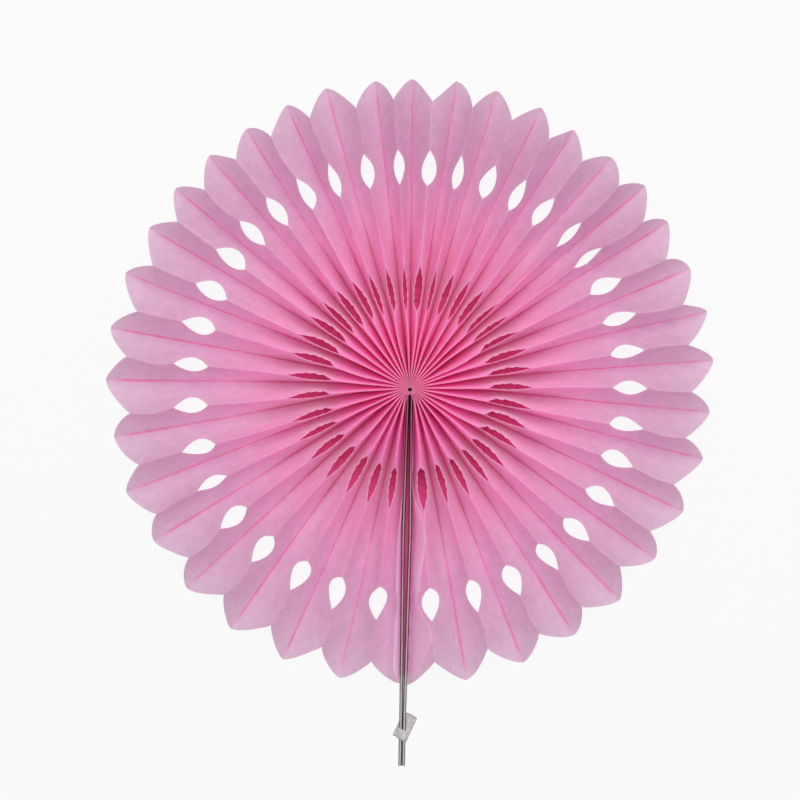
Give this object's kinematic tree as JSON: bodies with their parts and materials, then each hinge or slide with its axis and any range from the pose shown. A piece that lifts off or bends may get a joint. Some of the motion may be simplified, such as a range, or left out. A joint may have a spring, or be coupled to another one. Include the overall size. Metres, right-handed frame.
{
  "type": "paper fan rosette",
  "caption": "Round pleated paper fan with petal edges and cut-out eyes, opened into a full ring around a pinhole hub, on a two-wire stem tied with tape.",
  "frame": {"origin": "axis of the hub pinhole at the fan's back, the plane it lies on", "axes": "+Z along the pinhole towards the fan's front, the stem points along -Y, +X to the right seen from the front"},
  "size_m": [0.2497, 0.2846, 0.02],
  "materials": {
    "tissue": "matt, slightly see-through tissue paper",
    "wire": "bare drawn wire",
    "tape": "clear office tape, slightly milky"
  },
  "bodies": {
    "root": {"pleated_fan": "tissue", "left_wire": "wire", "right_wire": "wire", "tape_tie": "tape"}
  },
  "joints": []
}
